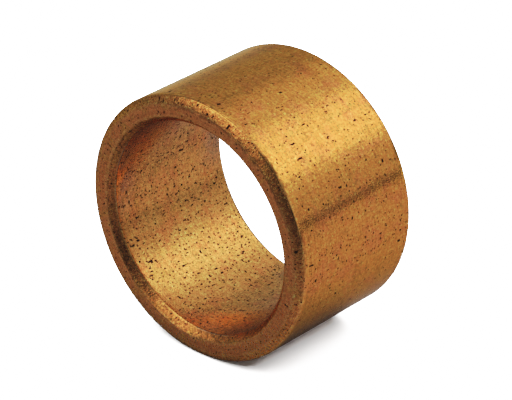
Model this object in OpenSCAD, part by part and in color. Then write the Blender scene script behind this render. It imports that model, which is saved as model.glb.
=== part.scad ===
// Plain sleeve bushing of sintered bronze, lying on its side.
// It is a single pressed and sintered piece: one straight wall round a through bore, with a
// chamfer round each end of the outside and at each mouth of the bore.
// Millimetres. +Y runs along the bore, +Z is up, and the origin is the middle of the bore.

/* [Sleeve] */
// Outside diameter, a press fit in its housing
outer_d = 20; // [19:0.01:24]
// Bore diameter, a running fit on its shaft
bore_d = 16; // [12:0.01:16.5]
// Length from end face to end face
sleeve_len = 12; // [8:0.1:30]

/* [Outside chamfers] */
// Radial width of the chamfer round each end
outer_chamfer_w = 0.6; // [0.1:0.05:0.6]
// Length of that chamfer along the sleeve
outer_chamfer_l = 0.4; // [0.1:0.05:1.5]

/* [Bore chamfers] */
// Radial width of the chamfer at each mouth
bore_chamfer_w = 0.5; // [0.1:0.05:0.6]
// Length of that chamfer along the sleeve
bore_chamfer_l = 0.55; // [0.1:0.05:1.5]

/* [Hidden] */

outer_r = outer_d / 2;
bore_r = bore_d / 2;
half_len = sleeve_len / 2;
facets = 128;
bronze = [0.71, 0.47, 0.20];

// Cut through one side of the wall, with the radius along X and the sleeve's length along Y.
module wall_section() {
    face_inner_r = bore_r + bore_chamfer_w;
    face_outer_r = outer_r - outer_chamfer_w;
    bore_end = half_len - bore_chamfer_l;
    outside_end = half_len - outer_chamfer_l;
    polygon([
        [bore_r, -bore_end],
        [face_inner_r, -half_len],
        [face_outer_r, -half_len],
        [outer_r, -outside_end],
        [outer_r, outside_end],
        [face_outer_r, half_len],
        [face_inner_r, half_len],
        [bore_r, bore_end]
    ]);
}

module sleeve() {
    color(bronze)
        rotate([90, 0, 0])
            rotate_extrude($fn = facets)
                wall_section();
}

sleeve();
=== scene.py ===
import math

import bpy
import numpy as np
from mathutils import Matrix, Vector


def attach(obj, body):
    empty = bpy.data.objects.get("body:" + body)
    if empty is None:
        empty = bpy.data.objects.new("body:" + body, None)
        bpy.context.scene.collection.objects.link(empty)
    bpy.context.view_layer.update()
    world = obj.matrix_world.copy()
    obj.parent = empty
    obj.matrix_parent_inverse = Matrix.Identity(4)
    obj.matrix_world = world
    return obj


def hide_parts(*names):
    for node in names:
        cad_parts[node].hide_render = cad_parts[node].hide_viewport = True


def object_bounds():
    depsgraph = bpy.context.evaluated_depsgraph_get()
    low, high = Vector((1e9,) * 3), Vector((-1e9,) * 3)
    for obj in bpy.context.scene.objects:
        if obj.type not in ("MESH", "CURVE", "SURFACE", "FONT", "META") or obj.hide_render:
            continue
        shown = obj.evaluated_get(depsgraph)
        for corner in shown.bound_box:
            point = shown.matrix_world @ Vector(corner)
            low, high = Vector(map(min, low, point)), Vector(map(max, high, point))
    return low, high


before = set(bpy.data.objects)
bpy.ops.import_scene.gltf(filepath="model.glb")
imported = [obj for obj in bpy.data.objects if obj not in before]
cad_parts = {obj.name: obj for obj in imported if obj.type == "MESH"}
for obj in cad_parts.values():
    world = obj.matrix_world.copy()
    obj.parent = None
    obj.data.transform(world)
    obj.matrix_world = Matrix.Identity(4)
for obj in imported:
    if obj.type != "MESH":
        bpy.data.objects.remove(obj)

CAD_LOW, CAD_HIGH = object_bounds()
FLOOR_Z = CAD_LOW[2]

# Camera: where it stands round the bushing, and how far from the middle of the bore, in metres
VIEW_AZIMUTH = math.radians(41.91)
VIEW_ELEVATION = math.radians(27.82)
VIEW_DISTANCE = 0.21154
VIEW_ASIDE = 0.00038860
VIEW_ABOVE = 0.00011121
LENS = 209.3
SENSOR_WIDTH = 36
CLIP_NEAR = 0.01
CLIP_FAR = 20

# Studio: the floor and the sun that lights it, and the sky's brightness to the camera and elsewhere
FLOOR_RADIUS = 0.6
FLOOR_SIDES = 64
FLOOR_WHITE = (0.9, 0.9, 0.9)
FLOOR_SUN = 32.0
FLOOR_SUN_ANGLE = math.radians(100)
BACKDROP = 3.0
AMBIENT = 0.07

# The floor as the metal reflects it, with painted light and shade on it: it changes along each of these
# directions, between two places in metres
FLOOR_TINT = (1.0, 0.89, 0.88)
FLOOR_TINT_BEHIND = (1.10, 1.10, 0.72)
BEHIND = (-0.6, 0.8, 0)
BEHIND_SPAN = (0.028, 0.045)
AWAY = (0.447, 0.894, 0)
AWAY_SPAN = (-0.009, 0.008)
AWAY_SHARES = (0.0275, 0.053)
TO_RIGHT = (0.707, -0.707, 0)
TO_RIGHT_SPAN = (0.010, 0.030)
TO_RIGHT_LEFT = 0.70
AHEAD = (0.5, -0.866, 0)
AHEAD_SPAN = (0.028, 0.060)
AHEAD_LEFT = 0.35


def link(obj):
    bpy.context.scene.collection.objects.link(obj)
    return obj


def camera_axes():
    """Unit vectors from the bushing to the camera, to its right and up."""
    flat = math.cos(VIEW_ELEVATION)
    sideways, forward = math.sin(VIEW_AZIMUTH), math.cos(VIEW_AZIMUTH)
    back = Vector((sideways * flat, -forward * flat, math.sin(VIEW_ELEVATION)))
    right = Vector((forward, sideways, 0))
    return back, right, back.cross(right)


def add_camera():
    back, right, up = camera_axes()
    camera = link(bpy.data.objects.new("camera", bpy.data.cameras.new("camera")))
    camera.data.sensor_width = SENSOR_WIDTH
    camera.data.lens = LENS
    camera.data.clip_start = CLIP_NEAR
    camera.data.clip_end = CLIP_FAR
    camera.location = back * VIEW_DISTANCE + right * VIEW_ASIDE + up * VIEW_ABOVE
    camera.rotation_mode = "QUATERNION"
    camera.rotation_quaternion = back.to_track_quat("Z", "Y")
    bpy.context.scene.camera = camera


class Nodes:
    """Short calls for building a node tree."""

    def __init__(self, tree):
        self.tree = tree

    def add(self, kind, **settings):
        node = self.tree.nodes.new(kind)
        for name, value in settings.items():
            setattr(node, name, value)
        return node

    def put(self, value, socket):
        """Links an output to the socket, or writes a plain value on it."""
        if isinstance(value, bpy.types.NodeSocket):
            self.tree.links.new(value, socket)
        else:
            socket.default_value = value

    def math(self, operation, first, second=0.0, clamp=False):
        node = self.add("ShaderNodeMath", operation=operation, use_clamp=clamp)
        self.put(first, node.inputs[0])
        self.put(second, node.inputs[1])
        return node.outputs[0]

    def vector(self, operation, first, second=(0, 0, 0)):
        node = self.add("ShaderNodeVectorMath", operation=operation)
        self.put(first, node.inputs[0])
        self.put(second, node.inputs[1])
        return node.outputs["Vector"]

    def square(self, value):
        return self.math("MULTIPLY", value, value)

    def length(self, vector):
        node = self.add("ShaderNodeVectorMath", operation="LENGTH")
        self.put(vector, node.inputs[0])
        return node.outputs["Value"]

    def parts(self, colour):
        """A colour's three channels."""
        node = self.add("ShaderNodeSeparateColor")
        self.put(colour, node.inputs[0])
        return node.outputs[:3]

    def dot(self, first, second):
        node = self.add("ShaderNodeVectorMath", operation="DOT_PRODUCT")
        self.put(first, node.inputs[0])
        self.put(second, node.inputs[1])
        return node.outputs["Value"]

    def ramp(self, value, low, high, start=0.0, end=1.0, kind="SMOOTHSTEP"):
        """value between low and high, turned into start to end."""
        node = self.add("ShaderNodeMapRange", interpolation_type=kind)
        for socket, given in zip(node.inputs, (value, low, high, start, end)):
            self.put(given, socket)
        return node.outputs[0]

    def noise(self, place, scale, detail=2.0, roughness=0.5):
        node = self.add("ShaderNodeTexNoise")
        self.put(place, node.inputs["Vector"])
        self.put(scale, node.inputs["Scale"])
        self.put(detail, node.inputs["Detail"])
        self.put(roughness, node.inputs["Roughness"])
        return node

    def cells(self, place, scale):
        node = self.add("ShaderNodeTexVoronoi")
        self.put(place, node.inputs["Vector"])
        self.put(scale, node.inputs["Scale"])
        return node

    def grey(self, value):
        node = self.add("ShaderNodeCombineColor")
        for socket in node.inputs:
            self.put(value, socket)
        return node.outputs[0]

    def blend(self, share, first, second, mode="MIX"):
        """Two colours mixed: none of the second at share 0, all of it at 1."""
        node = self.add("ShaderNodeMix", data_type="RGBA", blend_type=mode)
        self.put(share, node.inputs["Factor"])
        for value, socket in ((first, node.inputs[6]), (second, node.inputs[7])):
            self.put(value if isinstance(value, bpy.types.NodeSocket) else (*value, 1), socket)
        return node.outputs[2]


WARM = (1.0, 0.97, 0.94)
GOLDEN = (1.0, 0.93, 0.80)
COOL = (0.97, 1.0, 0.98)
# Soft lights on the sky: direction, the angles in degrees where each is full and gone, radiance, tint
PATCHES = (
    ((0.33, 0.66, 0.67), 0, 23, 1.02, WARM),
    ((0.20, 0.66, 0.72), 0, 42, 0.64, WARM),
    ((-0.60, 0.70, 0.25), 10, 60, 0.33, COOL),
    ((0.76, 0.62, 0.26), 5, 36, 0.46, WARM),
    ((-0.31, -0.48, 0.81), 6, 34, 1.30, GOLDEN),
    ((-0.25, -0.85, 0.47), 5, 33, 0.48, GOLDEN),
    ((-0.85, -0.47, 0.24), 5, 35, 0.14, COOL),
    ((0.0, -0.05, 1.0), 5, 36, 0.60, WARM),
    ((0.95, -0.10, 0.30), 8, 38, 0.30, COOL),
)
# A sector of the sky that is dimmer
DARK_TOWARD = (0.5, -0.866, 0.0)
DARK_SIDES = (0.78, 0.92)
DARK_LEFT = 0.35
# A thin dark gap at the horizon on one side, which shows as the streak along the bushing
GAP_TOWARD = (0.75, 0.66, 0.0)
GAP_HEIGHT = 0.02
GAP_EDGE = (0.016, 0.040)
GAP_LEFT = 0.0
GAP_SIDES = (0.6, 0.85)


def patch(nodes, toward, direction, inner, outer, radiance):
    """A round soft light on the sky: full inside the inner angle, gone at the outer one."""
    facing = nodes.dot(toward, Vector(direction).normalized())
    near = math.cos(math.radians(inner))
    far = math.cos(math.radians(outer))
    return nodes.ramp(facing, far, near, 0.0, radiance)


def sky_patches(nodes, toward):
    """The ambient light and all the soft lights together."""
    light = (AMBIENT, AMBIENT, AMBIENT)
    for direction, inner, outer, radiance, tint in PATCHES:
        glow = nodes.grey(patch(nodes, toward, direction, inner, outer, radiance))
        light = nodes.vector("ADD", light, nodes.vector("MULTIPLY", glow, tint))
    return light


def horizon_gap(nodes, toward):
    """0 in the dark gap at the horizon, 1 elsewhere."""
    height = nodes.dot(toward, (0, 0, 1))
    level = nodes.math("ABSOLUTE", nodes.math("SUBTRACT", height, GAP_HEIGHT))
    above = nodes.ramp(level, *GAP_EDGE, GAP_LEFT, 1.0)
    beside = nodes.ramp(nodes.dot(toward, Vector(GAP_TOWARD).normalized()), *GAP_SIDES, 1.0, 0.0)
    return nodes.math("MAXIMUM", above, beside)


def add_world():
    """White to the camera, and the soft lights with their gap to everything else."""
    world = bpy.data.worlds.new("studio")
    bpy.context.scene.world = world
    world.use_nodes = True
    nodes = Nodes(world.node_tree)
    background = world.node_tree.nodes["Background"]
    toward = nodes.add("ShaderNodeTexCoord").outputs["Generated"]
    sector = nodes.ramp(nodes.dot(toward, DARK_TOWARD), *DARK_SIDES, 1.0, DARK_LEFT)
    light = nodes.vector("MULTIPLY", sky_patches(nodes, toward), nodes.grey(sector))
    light = nodes.vector("MULTIPLY", light, nodes.grey(horizon_gap(nodes, toward)))
    seen = nodes.add("ShaderNodeLightPath").outputs["Is Camera Ray"]
    light = nodes.vector("MAXIMUM", light, nodes.grey(nodes.math("MULTIPLY", seen, BACKDROP)))
    nodes.put(light, background.inputs["Color"])
    background.inputs["Strength"].default_value = 1.0


def reflected_floor(nodes):
    """The floor's colour in reflections, with painted light and shade: brighter and yellower behind, darker
    to the right and ahead.
    """
    place = nodes.add("ShaderNodeNewGeometry").outputs["Position"]
    share = nodes.ramp(nodes.dot(place, AWAY), *AWAY_SPAN, *AWAY_SHARES)
    # Painted shade on the floor, to the right and ahead
    right = nodes.ramp(nodes.dot(place, TO_RIGHT), *TO_RIGHT_SPAN, 1.0, TO_RIGHT_LEFT)
    share = nodes.math("MULTIPLY", share, right)
    ahead = nodes.ramp(nodes.dot(place, AHEAD), *AHEAD_SPAN, 1.0, AHEAD_LEFT)
    share = nodes.math("MULTIPLY", share, ahead)
    tint = nodes.blend(nodes.ramp(nodes.dot(place, BEHIND), *BEHIND_SPAN), FLOOR_TINT, FLOOR_TINT_BEHIND)
    return nodes.vector("MULTIPLY", nodes.grey(share), tint)


def floor_material():
    """Near white to the camera, much dimmer in the metal's reflections."""
    material = bpy.data.materials.new("floor")
    material.use_nodes = True
    material.node_tree.nodes.clear()
    nodes = Nodes(material.node_tree)
    bright = nodes.add("ShaderNodeBsdfDiffuse")
    bright.inputs["Color"].default_value = (*FLOOR_WHITE, 1)
    dim = nodes.add("ShaderNodeBsdfDiffuse")
    nodes.put(reflected_floor(nodes), dim.inputs["Color"])
    mix = nodes.add("ShaderNodeMixShader")
    nodes.put(nodes.add("ShaderNodeLightPath").outputs["Is Glossy Ray"], mix.inputs[0])
    nodes.put(bright.outputs[0], mix.inputs[1])
    nodes.put(dim.outputs[0], mix.inputs[2])
    nodes.put(mix.outputs[0], nodes.add("ShaderNodeOutputMaterial").inputs["Surface"])
    return material


def add_floor():
    mesh = bpy.data.meshes.new("floor")
    corners = [
        (FLOOR_RADIUS * math.cos(angle), FLOOR_RADIUS * math.sin(angle), FLOOR_Z)
        for angle in np.linspace(0, 2 * math.pi, FLOOR_SIDES, endpoint=False)
    ]
    mesh.from_pydata(corners, [], [list(range(FLOOR_SIDES))])
    mesh.materials.append(floor_material())
    link(bpy.data.objects.new("floor", mesh))


def add_floor_light():
    """A broad soft sun, for the floor only: the metal does not mirror it."""
    sun = bpy.data.lights.new("floor_light", "SUN")
    sun.energy = FLOOR_SUN
    sun.angle = FLOOR_SUN_ANGLE
    lamp = link(bpy.data.objects.new("floor_light", sun))
    lamp.visible_glossy = False


# Light in the scene, and how bright it comes out in the picture
TONE = (
    (0, 0.006),
    (0.3, 0.3),
    (0.45, 0.435),
    (0.6, 0.51),
    (0.8, 0.60),
    (1.0, 0.68),
    (1.25, 0.78),
    (1.6, 0.89),
    (2.0, 0.97),
    (2.5, 1.0),
)
COMBINED_CURVE = 3


def set_tone():
    view = bpy.context.scene.view_settings
    view.view_transform = "Standard"
    view.use_curve_mapping = True
    mapping = view.curve_mapping
    white = TONE[-1][0]
    mapping.white_level = (white, white, white)
    mapping.extend = "HORIZONTAL"
    points = mapping.curves[COMBINED_CURVE].points
    points[0].location = TONE[0]
    for place, level in TONE[1:-1]:
        points.new(place / white, level)
    mapping.update()


# ---------------------------------------------------------------- the bushing's shape

SEED = 20
SEGMENTS = 288
# Edges: the radius that rounds them, its steps, and how far they are worn down, in metres
EDGE_ROUND = 0.15e-3
EDGE_STEPS = 4
EDGE_WEAR = 0.030e-3
HOLE_EDGE_WEAR = 0.008e-3
WEAR_WIDTHS = (3, 9)
# The grid between the edges: its cells, the first row beside an edge, and how far points slide, in cells
CELL = 0.24e-3
BORE_CELL = 0.20e-3
SUPPORT = 0.03e-3
JITTER = 0.30
TOUCH = 1e-6
SHARP_ANGLE = math.radians(35)


def read_section():
    """The corners of the sleeve's section, radius and place along the bore, going once round the metal."""
    points = np.array([v.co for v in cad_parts["sleeve"].data.vertices])
    radius = np.hypot(points[:, 0], points[:, 2])
    along = points[:, 1]
    end = along.max()
    bore, outside = radius.min(), radius.max()
    rim_in = radius[along > end - TOUCH].min()
    rim_out = radius[along > end - TOUCH].max()
    wall_end = along[radius > outside - TOUCH].max()
    bore_end = along[radius < bore + TOUCH].max()
    back = [(outside, wall_end), (rim_out, end), (rim_in, end), (bore, bore_end)]
    front = [(r, -y) for r, y in reversed(back)]
    return np.array(back + front)


SECTION = read_section()
BORE_R = SECTION[:, 0].min()
# The flat that follows each corner of the section
ZONES = (
    "outer_chamfer", "face", "inner_chamfer", "bore",
    "inner_chamfer", "face", "outer_chamfer", "outside",
)


def unit(vector):
    return vector / np.linalg.norm(vector)


def rounded(before, corner, after):
    """Points on the small arc that stands in for a corner."""
    into, out = unit(corner - before), unit(after - corner)
    turn = math.acos(float(np.clip(into @ out, -1, 1)))
    tangent = EDGE_ROUND * math.tan(turn / 2)
    centre = corner + unit(out - into) * EDGE_ROUND / math.cos(turn / 2)
    start = corner - into * tangent - centre
    side = into * EDGE_ROUND
    angles = np.linspace(0, turn, EDGE_STEPS + 1)
    return [centre + start * math.cos(a) + side * math.sin(a) for a in angles]


def straight(start, stop, cell):
    """Points strictly between two ends: one close to each end, and even steps between those."""
    length = np.linalg.norm(stop - start)
    steps = max(2, round((length - 2 * SUPPORT) / cell))
    places = np.linspace(SUPPORT, length - SUPPORT, steps + 1)
    return [start + unit(stop - start) * place for place in places]


def profile():
    """The section's points in order, the zone of each span after a point, and how far each may slide."""
    count = len(SECTION)
    arcs = [rounded(SECTION[i - 1], SECTION[i], SECTION[(i + 1) % count]) for i in range(count)]
    points, zones, slides = [], [], []
    for i, zone in enumerate(ZONES):
        cell = BORE_CELL if zone == "bore" else CELL
        flat = straight(arcs[i][-1], arcs[(i + 1) % count][0], cell)
        slide = (flat[2] - flat[1]) if len(flat) > 2 else np.zeros(2)
        points += arcs[i] + flat
        zones += ["edge"] * len(arcs[i]) + [zone] * (len(flat) - 1) + ["edge"]
        slides += [np.zeros(2)] * (len(arcs[i]) + 1) + [slide] * (len(flat) - 2) + [np.zeros(2)]
    return np.array(points), zones, np.array(slides)


def worn_edge(random):
    """How deep an edge is worn, 0 to 1, at each step round it."""
    wear = random.random(SEGMENTS)
    for width in WEAR_WIDTHS:
        smooth = np.convolve(np.tile(random.random(SEGMENTS), 3), np.ones(width) / width, "same")
        wear = wear + 2 * smooth[SEGMENTS:2 * SEGMENTS]
    return (wear - wear.min()) / np.ptp(wear)


def edge_starts():
    """The first point of each rounded edge."""
    count = len(SECTION)
    return [rounded(SECTION[i - 1], SECTION[i], SECTION[(i + 1) % count])[0] for i in range(count)]


def wear_edges(points, radius, along, random):
    """Moves each rounded edge into the metal, more here and less there."""
    for corner, first in enumerate(edge_starts()):
        start = np.flatnonzero(np.all(np.isclose(points, first), axis=1))[0]
        rows = slice(start, start + EDGE_STEPS + 1)
        before, here = SECTION[corner - 1], SECTION[corner]
        after = SECTION[(corner + 1) % len(SECTION)]
        inward = unit(unit(after - here) + unit(before - here))
        at_hole = here[0] < BORE_R + TOUCH
        depth = (HOLE_EDGE_WEAR if at_hole else EDGE_WEAR) * worn_edge(random)
        radius[rows] += inward[0] * depth
        along[rows] += inward[1] * depth


def revolve(random):
    """The rings of the bushing as one closed grid, each loose point slid a little along the surface."""
    points, zones, slides = profile()
    rows = len(points)
    loose = np.any(slides != 0, axis=1)
    shift = random.uniform(-JITTER, JITTER, (rows, SEGMENTS))
    turn = random.uniform(-JITTER, JITTER, (rows, SEGMENTS)) * loose[:, None]
    angle = (np.arange(SEGMENTS) + turn) * 2 * math.pi / SEGMENTS
    radius = points[:, 0:1] + slides[:, 0:1] * shift
    along = points[:, 1:2] + slides[:, 1:2] * shift
    wear_edges(points, radius, along, random)
    vertices = np.stack([radius * np.sin(angle), along, radius * np.cos(angle)], axis=-1)
    return vertices.reshape(-1, 3), zones


def corner_index(row, step, rows):
    return (row % rows) * SEGMENTS + step % SEGMENTS


def cell_face(row, step, rows):
    """A grid cell's four corners, turning outward."""
    return (
        corner_index(row, step, rows),
        corner_index(row, step + 1, rows),
        corner_index(row + 1, step + 1, rows),
        corner_index(row + 1, step, rows),
    )


# Pores cut into the mesh: how many places are tried in each zone
PIT_TRIES = {"outside": 1100, "bore": 6200, "face": 420, "outer_chamfer": 520, "inner_chamfer": 340}
# The share that spans more cells than one, and their spans down and across
LONG_PITS = 0.4
LONG_REACH = ((2, 1), (2, 1), (1, 2), (3, 1))
PIT_DEPTH = (0.04e-3, 0.13e-3)
PIT_FLOOR = 0.72
# A pore's mouth as a share of its cells: smallest and largest, small ones being commoner
PIT_SKEW = 2.2
PIT_UNEVEN = (0.75, 1.25)
PIT_LIMITS = (0.1, 0.9)
PIT_SIZE = {
    "outside": (0.20, 0.75),
    "bore": (0.30, 0.95),
    "face": (0.22, 0.60),
    "outer_chamfer": (0.30, 0.85),
    "inner_chamfer": (0.25, 0.65),
}


def crowding(angle, along):
    """How likely a pore is at a place: 0 to 1, in broad patches."""
    waves = math.sin(3 * angle + 1.3 + 260 * along)
    waves += math.sin(7 * angle - 410 * along)
    waves += math.sin(13 * angle + 700 * along + 2)
    return 0.5 + waves / 6


def pit_cells(row, step, random):
    """The one to three cells of a pore that starts at a cell, and how far it reaches down and across."""
    down, across = (1, 1)
    if random.random() < LONG_PITS:
        down, across = LONG_REACH[random.integers(len(LONG_REACH))]
    cells = {(row + i, (step + j) % SEGMENTS) for i in range(down) for j in range(across)}
    return cells, down, across


def choose_pits(zones, random):
    """Where the pores are: each one's first cell and reach, none touching another."""
    taken = set()
    pits = []
    for zone, tries in PIT_TRIES.items():
        inside = [row for row in range(len(zones)) if zones[row] == zone]
        for _ in range(tries):
            row = inside[random.integers(len(inside))]
            step = int(random.integers(SEGMENTS))
            cells, down, across = pit_cells(row, step, random)
            likely = crowding(step * 2 * math.pi / SEGMENTS, row * CELL)
            corners = {(r + a, (s + b) % SEGMENTS) for r, s in cells for a in (0, 1) for b in (0, 1)}
            fits = all(r in inside for r, s in cells) and not corners & taken
            if fits and random.random() < likely:
                taken |= corners
                pits.append((row, step, down, across, cells))
    return pits


def pit_outline(row, step, down, across):
    """The corners round a pore's cells, in the order of cell_face."""
    outline = [(row, step + j) for j in range(across)]
    outline += [(row + i, step + across) for i in range(down)]
    outline += [(row + down, step + across - j) for j in range(across)]
    outline += [(row + down - i, step) for i in range(down)]
    return outline


def dig_pit(vertices, faces, rim, zone, random):
    """Fills a pore's outline with margin, walls and floor. Returns how many faces are margin and pore."""
    edge = np.array([vertices[i] for i in rim])
    middle = edge.mean(axis=0)
    inward = unit(np.cross(edge[-1] - edge[0], edge[1] - edge[0]))
    small, large = PIT_SIZE[zone]
    size = small + (large - small) * random.random() ** PIT_SKEW
    shrink = size * random.uniform(*PIT_UNEVEN, (len(rim), 1))
    mouth = middle + (edge - middle) * np.clip(shrink, *PIT_LIMITS)
    floor = middle + (mouth - middle) * PIT_FLOOR + inward * random.uniform(*PIT_DEPTH)
    count = len(rim)
    first = len(vertices)
    vertices.extend(mouth.tolist())
    vertices.extend(floor.tolist())
    mouth_ring = range(first, first + count)
    floor_ring = range(first + count, first + 2 * count)
    for outer, inner in ((rim, mouth_ring), (mouth_ring, floor_ring)):
        for k in range(count):
            after = (k + 1) % count
            faces.append((outer[k], outer[after], inner[after], inner[k]))
    faces.append(tuple(floor_ring))
    return count, count + 1


def build_sleeve():
    """The bushing's mesh, with a face attribute that marks the cut pores."""
    random = np.random.default_rng(SEED)
    grid, zones = revolve(random)
    rows = len(zones)
    vertices = grid.tolist()
    pits = choose_pits(zones, random)
    dug = set().union(*(cells for *_, cells in pits))
    faces = [
        cell_face(row, step, rows)
        for row in range(rows) for step in range(SEGMENTS) if (row, step) not in dug
    ]
    pore = [0.0] * len(faces)
    for row, step, down, across, _ in pits:
        rim = [corner_index(r, c, rows) for r, c in pit_outline(row, step, down, across)]
        margin, inside = dig_pit(vertices, faces, rim, zones[row], random)
        pore += [0.0] * margin + [1.0] * inside
    mesh = bpy.data.meshes.new("bushing")
    mesh.from_pydata(vertices, [], faces)
    mesh.attributes.new("pore", "FLOAT", "FACE").data.foreach_set("value", pore)
    mesh.shade_smooth()
    mesh.set_sharp_from_angle(angle=SHARP_ANGLE)
    return link(bpy.data.objects.new("bushing", mesh))


# ---------------------------------------------------------------- sintered bronze

# The material works in millimetres. The colours were set by comparing pictures, zone by zone
MM = 1000
BRONZE = (0.97, 0.36, 0.073)
BORE_BRONZE = (0.93, 0.40, 0.100)
FACE_BRONZE = (0.92, 0.312, 0.094)
WALL_CHAMFER_BRONZE = (0.92, 0.31, 0.078)
BORE_CHAMFER_BRONZE = (0.61, 0.212, 0.056)
# Painted shade in both mouths of the bore, a darker greyer colour: it fades inward, and is missing on the
# side away from the direction below
BORE_MOUTH_SHADE = (0.285, 0.205, 0.185)
MOUTH_SHADE_TOWARD = (0.707, 0, 0.707)
MOUTH_SHADE_SIDES = (-0.92, -0.62)
MOUTH_SHADE_DEPTHS = (0.4, 3.4)
MOUTH_SHADE_SHARE = 0.85
# Stains: colour, the noise's scale, detail and roughness, the noise values they run between, share
COPPER_STAIN = (0.88, 0.27, 0.075)
COPPER_NOISE = (0.55, 4.0, 0.65)
COPPER_NOISE_PLACE = (31, 7, 12)
COPPER_SPAN = (0.48, 0.66)
COPPER_SHARE = 0.8
OLIVE_STAIN = (0.80, 0.37, 0.075)
OLIVE_NOISE = (1.1, 3.0, 0.6)
OLIVE_SPAN = (0.50, 0.70)
OLIVE_SHARE = 0.55
WORN_EDGE = (1.0, 0.50, 0.15)
WORN_SPAN = (0.42, 0.58)
WORN_SHARE = 0.5
EDGE_REACH = (0.05, 0.20)
# Painted shade in the pores: their near-black colour, and how much of it covers the metal
PORE_PAINTED_SHADE = (0.055, 0.014, 0.005)
PORE_SHADE_SHARE = 0.93
RED_GRAIN = (1.0, 0.86, 0.84)
YELLOW_GRAIN = (0.97, 1.12, 1.10)
# The metal's tint at a grazing angle
EDGE_TINT = (0.78, 0.70, 0.52)
BORE_EDGE_TINT = (0.62, 0.68, 0.76)
# How far from a wall or a face its zone gives way to the chamfer's
WALL_BLEND = (0.03, 0.12)
FACE_BLEND = 0.08
# Textures: scale, detail, roughness
WARP_NOISE = (9.0, 1.0)
WARP = (0.12, 0.12, 0.12)
GRAINS_PER_MM = 8.0
FINE_NOISE = (13.0, 2.0, 0.6)
TORN_NOISE = (6.0, 3.0, 0.75)
# Darkest and lightest of each texture
GRAIN_TONE = (0.68, 1.22)
SHINY_GRAINS = (0.90, 0.94)
SHINY_TONE = 1.4
TEXTURE_SPAN = (0.3, 0.7)
FINE_TONE = (0.60, 1.30)
RING_TONE = (0.80, 1.16)
STROKE_TONE = (0.90, 1.10)
RAGGED_SPAN = (0.35, 0.65)
RAGGED_TONE = (-0.60, 0.66)
RINGS_ALONG = 6.0
RINGS_OUTWARD = 14.0
STROKE_SCALE = (7, 0.35, 7)
# Roughness of the smoothest and dullest grains outside, and what each zone adds
BASE_ROUGHNESS = (0.09, 0.16)
FACE_ROUGHER = 0.13
CHAMFER_ROUGHER = 0.15
BORE_ROUGHER = 0.13
PORE_ROUGHER = 0.35
# Relief, in metres for the bump
RELIEF = 0.0036 / MM
CHAMFER_RELIEF = 0.012 / MM
FINE_HEIGHT = 0.4
PORE_HEIGHT = 1.5
# Pores in the texture: spacing and half width in mm, share of spots used
FEW_PORES = (0.28, 0.082, 0.8)
MANY_PORES = (0.20, 0.064, 0.8)
MANY_STRETCH = (1, 0.55, 1)
MANY_PLACE = (5, 9, 3)
PORE_EDGE = 0.05


class Spot:
    """Where a point of the surface is, in mm, and how far it belongs to each part of the sleeve, 0 to 1."""

    def __init__(self, nodes):
        object_place = nodes.add("ShaderNodeTexCoord").outputs["Object"]
        self.place = nodes.vector("MULTIPLY", object_place, (MM, MM, MM))
        self.across = nodes.vector("MULTIPLY", self.place, (1, 0, 1))
        self.radius = nodes.length(self.across)
        self.along = nodes.dot(self.place, (0, 1, 0))
        self.off_middle = nodes.math("ABSOLUTE", self.along)
        wall, rim_out, rim_in, bore = (corner[0] * MM for corner in SECTION[:4])
        full, gone = WALL_BLEND
        self.in_bore = nodes.ramp(self.radius, bore + full, bore + gone, 1.0, 0.0)
        self.on_wall = nodes.ramp(self.radius, wall - gone, wall - full)
        outside_hole = nodes.ramp(self.radius, rim_in - FACE_BLEND, rim_in)
        inside_rim = nodes.ramp(self.radius, rim_out, rim_out + FACE_BLEND, 1.0, 0.0)
        self.on_face = nodes.math("MULTIPLY", outside_hole, inside_rim)
        at_hole = nodes.math("SUBTRACT", 1.0, outside_hole)
        self.on_bore_chamfer = nodes.math("SUBTRACT", at_hole, self.in_bore, clamp=True)
        at_rim = nodes.math("SUBTRACT", 1.0, inside_rim)
        self.on_wall_chamfer = nodes.math("SUBTRACT", at_rim, self.on_wall, clamp=True)


def near_edges(nodes, spot):
    """1 on the four rounded edges at either end of the sleeve, 0 a fifth of a millimetre away."""
    near = 0.0
    for radius, along in SECTION[:4] * MM:
        aside = nodes.math("SUBTRACT", spot.radius, radius)
        ahead = nodes.math("SUBTRACT", spot.off_middle, along)
        gap = nodes.math("SQRT", nodes.math("ADD", nodes.square(aside), nodes.square(ahead)))
        near = nodes.math("MAXIMUM", nodes.ramp(gap, *EDGE_REACH, 1.0, 0.0), near)
    return near


def tool_marks(nodes, spot):
    """Faint rings round the ends, left by turning, and strokes along the bore, left by the sizing pin."""
    outward = nodes.vector("NORMALIZE", spot.across)
    along = nodes.math("MULTIPLY", spot.along, RINGS_ALONG)
    depth = nodes.math("ADD", along, nodes.math("MULTIPLY", spot.radius, RINGS_OUTWARD))
    lifted = nodes.vector("MULTIPLY", nodes.grey(depth), (0, 1, 0))
    round_axis = nodes.vector("MULTIPLY", outward, (2, 0, 2))
    rings = nodes.noise(nodes.vector("ADD", round_axis, lifted), 1.0, 2.0)
    strokes = nodes.noise(nodes.vector("MULTIPLY", spot.place, STROKE_SCALE), 1.0, 1.0)
    return rings, strokes


def small_pores(nodes, place, spacing, size, share):
    """Little angular pores, 1 inside: size is the largest one's half width, share the part of spots used."""
    spots = nodes.cells(place, 1 / spacing)
    chance = nodes.parts(spots.outputs["Color"])[0]
    reach = nodes.ramp(chance, 1 - share, 1.0, 0.0, size / spacing, "LINEAR")
    gap = nodes.math("SUBTRACT", spots.outputs["Distance"], reach)
    return nodes.ramp(gap, -PORE_EDGE, PORE_EDGE, 1.0, 0.0, "LINEAR")


def pore_mask(nodes, spot, bent):
    """Pores too small to be cut, more of them in the bore, and the insides of those that are cut."""
    few = small_pores(nodes, bent, *FEW_PORES)
    drawn = nodes.vector("ADD", nodes.vector("MULTIPLY", bent, MANY_STRETCH), MANY_PLACE)
    many = nodes.math("MULTIPLY", small_pores(nodes, drawn, *MANY_PORES), spot.in_bore)
    cut = nodes.add("ShaderNodeAttribute", attribute_name="pore").outputs["Fac"]
    return nodes.math("MAXIMUM", nodes.math("MAXIMUM", few, many), cut)


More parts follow.
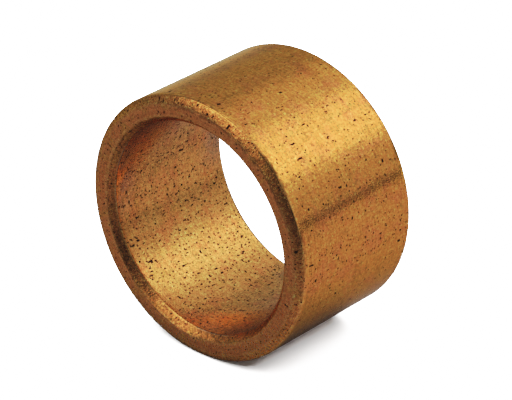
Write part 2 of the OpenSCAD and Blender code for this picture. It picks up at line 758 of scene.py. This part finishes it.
def bore_mouth_shade(nodes, spot):
    """How much painted shade lies at a place in the bore, 0 to 1."""
    end_gap = nodes.math("SUBTRACT", CAD_HIGH[1] * MM, spot.off_middle)
    outward = nodes.vector("NORMALIZE", spot.across)
    shaded_side = nodes.ramp(nodes.dot(outward, MOUTH_SHADE_TOWARD), *MOUTH_SHADE_SIDES)
    return nodes.math("MULTIPLY", nodes.ramp(end_gap, *MOUTH_SHADE_DEPTHS, MOUTH_SHADE_SHARE, 0.0), shaded_side)


def metal_colour(nodes, spot):
    """The bronze: its colour in each part of the sleeve, with stains in broad patches, and painted shade in
    the bore's mouths.
    """
    olive = nodes.noise(spot.place, *OLIVE_NOISE)
    copper = nodes.noise(nodes.vector("ADD", spot.place, COPPER_NOISE_PLACE), *COPPER_NOISE)
    copper_share = nodes.ramp(copper.outputs["Fac"], *COPPER_SPAN, 0.0, COPPER_SHARE)
    olive_share = nodes.ramp(olive.outputs["Fac"], *OLIVE_SPAN, 0.0, OLIVE_SHARE)
    # The bore's colour, darkened near both mouths by painted shade
    in_bore = nodes.blend(bore_mouth_shade(nodes, spot), BORE_BRONZE, BORE_MOUTH_SHADE)
    base = nodes.blend(spot.in_bore, BRONZE, in_bore)
    base = nodes.blend(spot.on_face, base, FACE_BRONZE)
    base = nodes.blend(spot.on_wall_chamfer, base, WALL_CHAMFER_BRONZE)
    base = nodes.blend(spot.on_bore_chamfer, base, BORE_CHAMFER_BRONZE)
    base = nodes.blend(copper_share, base, COPPER_STAIN)
    return nodes.blend(olive_share, base, OLIVE_STAIN)


class Texture:
    """The fine patterns that the colour, the roughness and the relief share."""

    def __init__(self, nodes, spot):
        warp = nodes.noise(spot.place, *WARP_NOISE)
        bent = nodes.vector("ADD", spot.place, nodes.vector("MULTIPLY", warp.outputs["Color"], WARP))
        grain = nodes.cells(bent, GRAINS_PER_MM)
        self.grain_depth = grain.outputs["Distance"]
        self.hue, self.shade, self.shine = nodes.parts(grain.outputs["Color"])
        self.fine = nodes.noise(spot.place, *FINE_NOISE).outputs["Fac"]
        self.torn = nodes.noise(spot.place, *TORN_NOISE).outputs["Fac"]
        self.chamfers = nodes.math("ADD", spot.on_wall_chamfer, spot.on_bore_chamfer)
        self.pores = pore_mask(nodes, spot, bent)


def light_and_dark(nodes, spot, texture):
    """What the colour is multiplied by: grains, fine speckle and tool marks, and ragged chamfers."""
    tone = nodes.ramp(texture.shade, 0.0, 1.0, *GRAIN_TONE, "LINEAR")
    shiny = nodes.ramp(texture.shine, *SHINY_GRAINS, 1.0, SHINY_TONE)
    tone = nodes.math("MULTIPLY", tone, shiny)
    rings, strokes = (marks.outputs["Fac"] for marks in tool_marks(nodes, spot))
    for value, span in ((texture.fine, FINE_TONE), (rings, RING_TONE), (strokes, STROKE_TONE)):
        tone = nodes.math("MULTIPLY", tone, nodes.ramp(value, *TEXTURE_SPAN, *span, "LINEAR"))
    ragged = nodes.ramp(texture.torn, *RAGGED_SPAN, *RAGGED_TONE, "LINEAR")
    ragged = nodes.math("ADD", nodes.math("MULTIPLY", ragged, texture.chamfers), 1.0)
    return nodes.math("MULTIPLY", tone, ragged)


def surface_colour(nodes, spot, texture):
    """The metal's colour with worn edges and grains, and painted shade in the pores."""
    worn = nodes.ramp(texture.torn, *WORN_SPAN, 0.0, WORN_SHARE)
    worn = nodes.math("MULTIPLY", near_edges(nodes, spot), worn)
    base = nodes.blend(worn, metal_colour(nodes, spot), WORN_EDGE)
    base = nodes.blend(1.0, base, nodes.grey(light_and_dark(nodes, spot, texture)), "MULTIPLY")
    base = nodes.blend(1.0, base, nodes.blend(texture.hue, RED_GRAIN, YELLOW_GRAIN), "MULTIPLY")
    # Painted shade: the pores turned near black
    return nodes.blend(nodes.math("MULTIPLY", texture.pores, PORE_SHADE_SHARE), base, PORE_PAINTED_SHADE)


def roughness(nodes, spot, texture):
    """Smoothest on the outside, rougher on the other zones and most in the pores."""
    rough = nodes.ramp(texture.shine, 0.0, 1.0, *BASE_ROUGHNESS, "LINEAR")
    rougher = (
        (spot.on_face, FACE_ROUGHER),
        (texture.chamfers, CHAMFER_ROUGHER),
        (spot.in_bore, BORE_ROUGHER),
        (texture.pores, PORE_ROUGHER),
    )
    for share, more in rougher:
        rough = nodes.math("ADD", rough, nodes.math("MULTIPLY", share, more))
    return rough


def relief(nodes, texture):
    """The bump of grains and small pores, deeper on the chamfers."""
    fine = nodes.math("MULTIPLY", texture.fine, FINE_HEIGHT)
    height = nodes.math("ADD", fine, texture.grain_depth)
    height = nodes.math("SUBTRACT", height, nodes.math("MULTIPLY", texture.pores, PORE_HEIGHT))
    bump = nodes.add("ShaderNodeBump")
    bump.inputs["Strength"].default_value = 1.0
    nodes.put(nodes.ramp(texture.chamfers, 0.0, 1.0, RELIEF, CHAMFER_RELIEF), bump.inputs["Distance"])
    nodes.put(height, bump.inputs["Height"])
    return bump.outputs[0]


def bronze():
    material = bpy.data.materials.new("sintered_bronze")
    material.use_nodes = True
    nodes = Nodes(material.node_tree)
    surface = material.node_tree.nodes["Principled BSDF"]
    spot = Spot(nodes)
    texture = Texture(nodes, spot)
    tint = nodes.blend(spot.in_bore, EDGE_TINT, BORE_EDGE_TINT)
    surface.inputs["Metallic"].default_value = 1
    nodes.put(tint, surface.inputs["Specular Tint"])
    nodes.put(surface_colour(nodes, spot, texture), surface.inputs["Base Color"])
    nodes.put(roughness(nodes, spot, texture), surface.inputs["Roughness"])
    nodes.put(relief(nodes, texture), surface.inputs["Normal"])
    return material


add_camera()
set_tone()
add_floor()
add_floor_light()
add_world()
sleeve = build_sleeve()
sleeve.data.materials.append(bronze())
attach(sleeve, "root")
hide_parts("sleeve")
